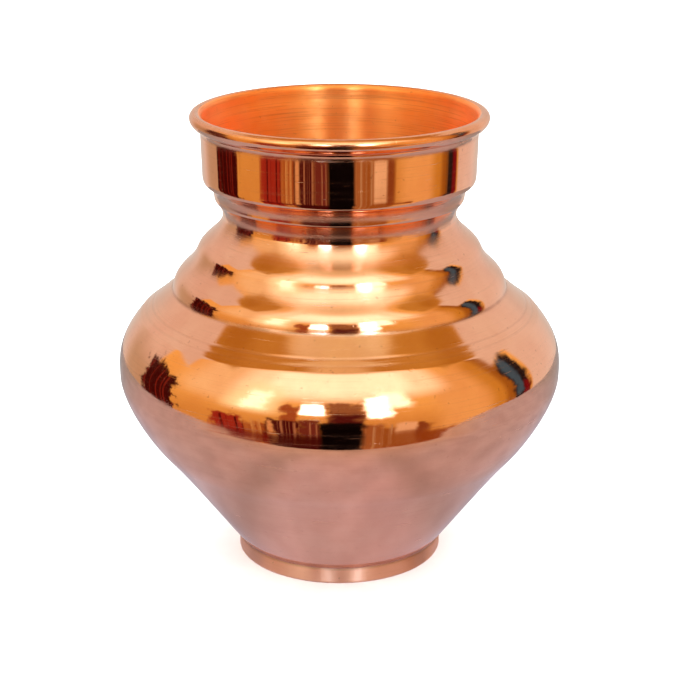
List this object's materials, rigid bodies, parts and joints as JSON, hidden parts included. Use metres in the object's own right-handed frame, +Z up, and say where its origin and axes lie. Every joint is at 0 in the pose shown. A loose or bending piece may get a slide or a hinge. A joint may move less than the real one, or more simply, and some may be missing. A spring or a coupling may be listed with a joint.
{
  "type": "kalash pot",
  "caption": "Round polished copper water pot with a foot ring, conical lower body, full belly, stepped shoulder, ringed neck, straight collar and rolled lip.",
  "frame": {"origin": "on the pot's axis, at the plane the foot ring stands on", "axes": "+Z up along the pot's axis; the pot is round, so +X and +Y are any two level directions"},
  "size_m": [0.1212, 0.1212, 0.125],
  "materials": {
    "polished_copper": "mirror polished copper",
    "brazing_metal": "filed brazing metal",
    "rim_wire": "drawn copper wire"
  },
  "bodies": {
    "root": {"foot_ring": "polished_copper", "foot_braze": "brazing_metal", "lower_bowl": "polished_copper", "belly_braze": "brazing_metal", "upper_shell": "polished_copper", "neck_braze": "brazing_metal", "neck_collar": "polished_copper", "rim_wire": "rim_wire"}
  },
  "joints": []
}
